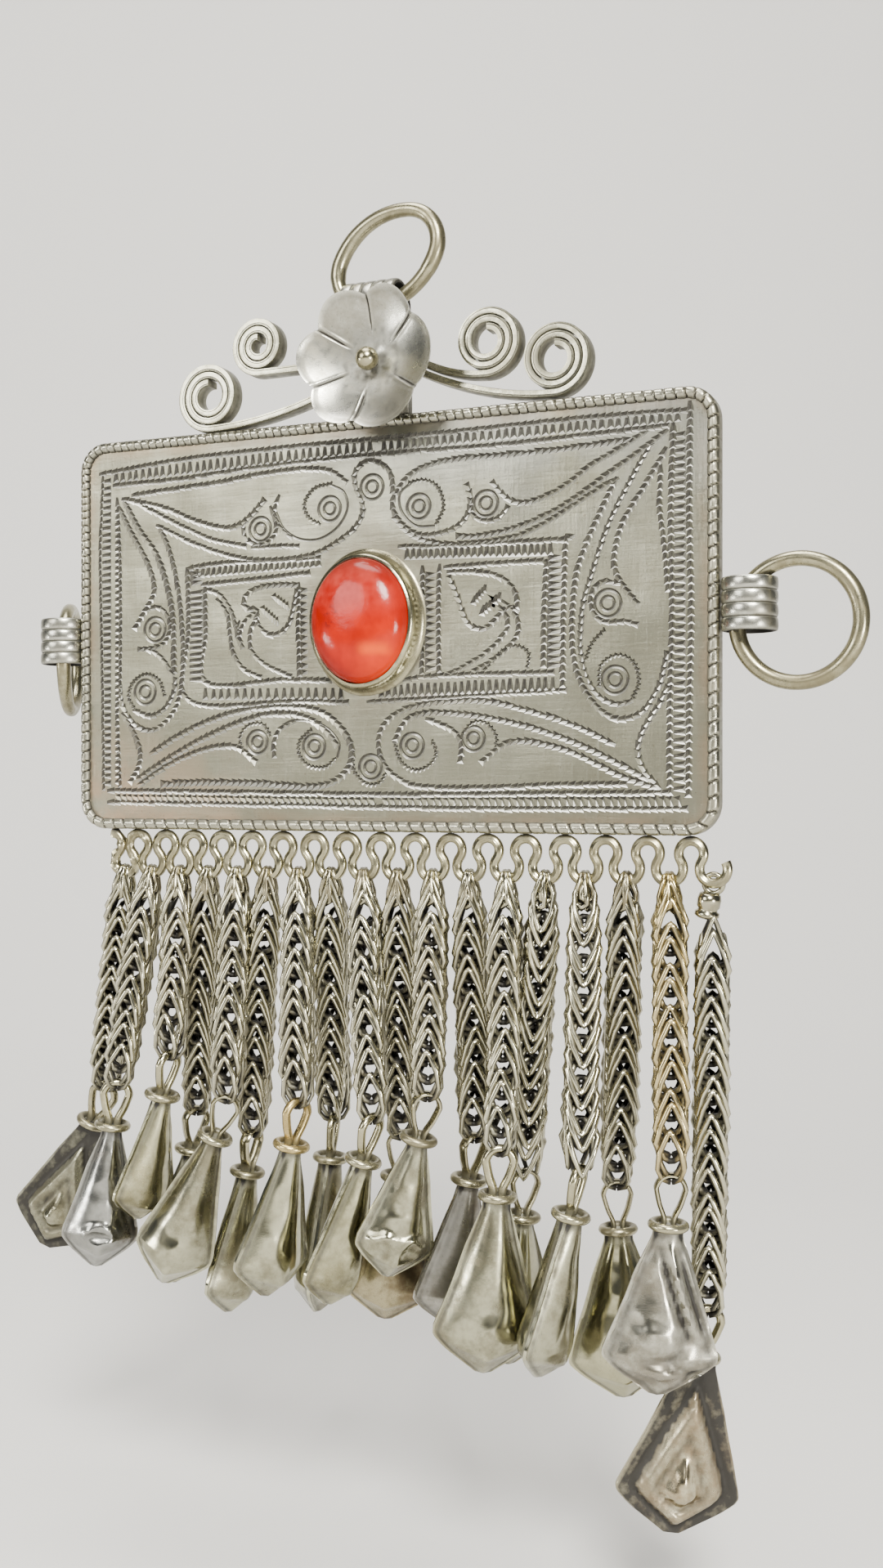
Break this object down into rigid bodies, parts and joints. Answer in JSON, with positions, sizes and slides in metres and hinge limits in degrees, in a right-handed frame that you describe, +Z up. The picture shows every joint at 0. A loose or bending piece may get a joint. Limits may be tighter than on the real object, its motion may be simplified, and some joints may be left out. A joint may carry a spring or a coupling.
{
  "type": "tribal necklace pectoral pendant",
  "caption": "Engraved silver pectoral pendant with an oval orange-red stone, flower, scrolls, three rings and a fringe of eighteen chains that end in hollow kite-shaped drops.",
  "frame": {"origin": "point inside the top ring where the piece hangs", "axes": "+X to the right as the front is seen, +Y to the back, +Z up"},
  "size_m": [0.1066, 0.0206, 0.1463],
  "materials": {
    "silver": "old worn silver with a warm tarnish",
    "stone": "glossy orange-red cabochon of glass or carnelian"
  },
  "bodies": {
    "top_ring": {"ring_top": "silver"},
    "pectoral": {"plate": "silver", "stone": "stone", "flower": "silver", "scrolls_left": "silver", "scrolls_right": "silver", "bail_top": "silver", "bail_left": "silver", "bail_right": "silver", "hanger_wire": "silver", "chain_01": "silver", "chain_02": "silver", "chain_03": "silver", "chain_04": "silver", "chain_05": "silver", "chain_06": "silver", "chain_07": "silver", "chain_08": "silver", "chain_09": "silver", "chain_10": "silver", "chain_11": "silver", "chain_12": "silver", "chain_13": "silver", "chain_14": "silver", "chain_15": "silver", "chain_16": "silver", "chain_17": "silver", "chain_18": "silver", "drop_01": "silver", "drop_02": "silver", "drop_03": "silver", "drop_04": "silver", "drop_05": "silver", "drop_06": "silver", "drop_07": "silver", "drop_08": "silver", "drop_09": "silver", "drop_10": "silver", "drop_11": "silver", "drop_12": "silver", "drop_13": "silver", "drop_14": "silver", "drop_15": "silver", "drop_16": "silver", "drop_17": "silver", "drop_18": "silver"},
    "right_ring": {"ring_right": "silver"},
    "left_ring": {"ring_left": "silver"}
  },
  "joints": [
    {"name": "pectoral_swing", "type": "hinge", "parent": "top_ring", "child": "pectoral", "pos_m": [0, 0, -0.00949], "axis": [1, 0, 0], "range_deg": [-70, 145]},
    {"name": "right_ring_swing", "type": "hinge", "parent": "pectoral", "child": "right_ring", "pos_m": [0.0418, 0, -0.0451], "axis": [0, 0, 1], "range_deg": [-140, 140]},
    {"name": "left_ring_swing", "type": "hinge", "parent": "pectoral", "child": "left_ring", "pos_m": [-0.0438, 0, -0.0461], "axis": [0, 0, 1], "range_deg": [-73, 193]}
  ]
}
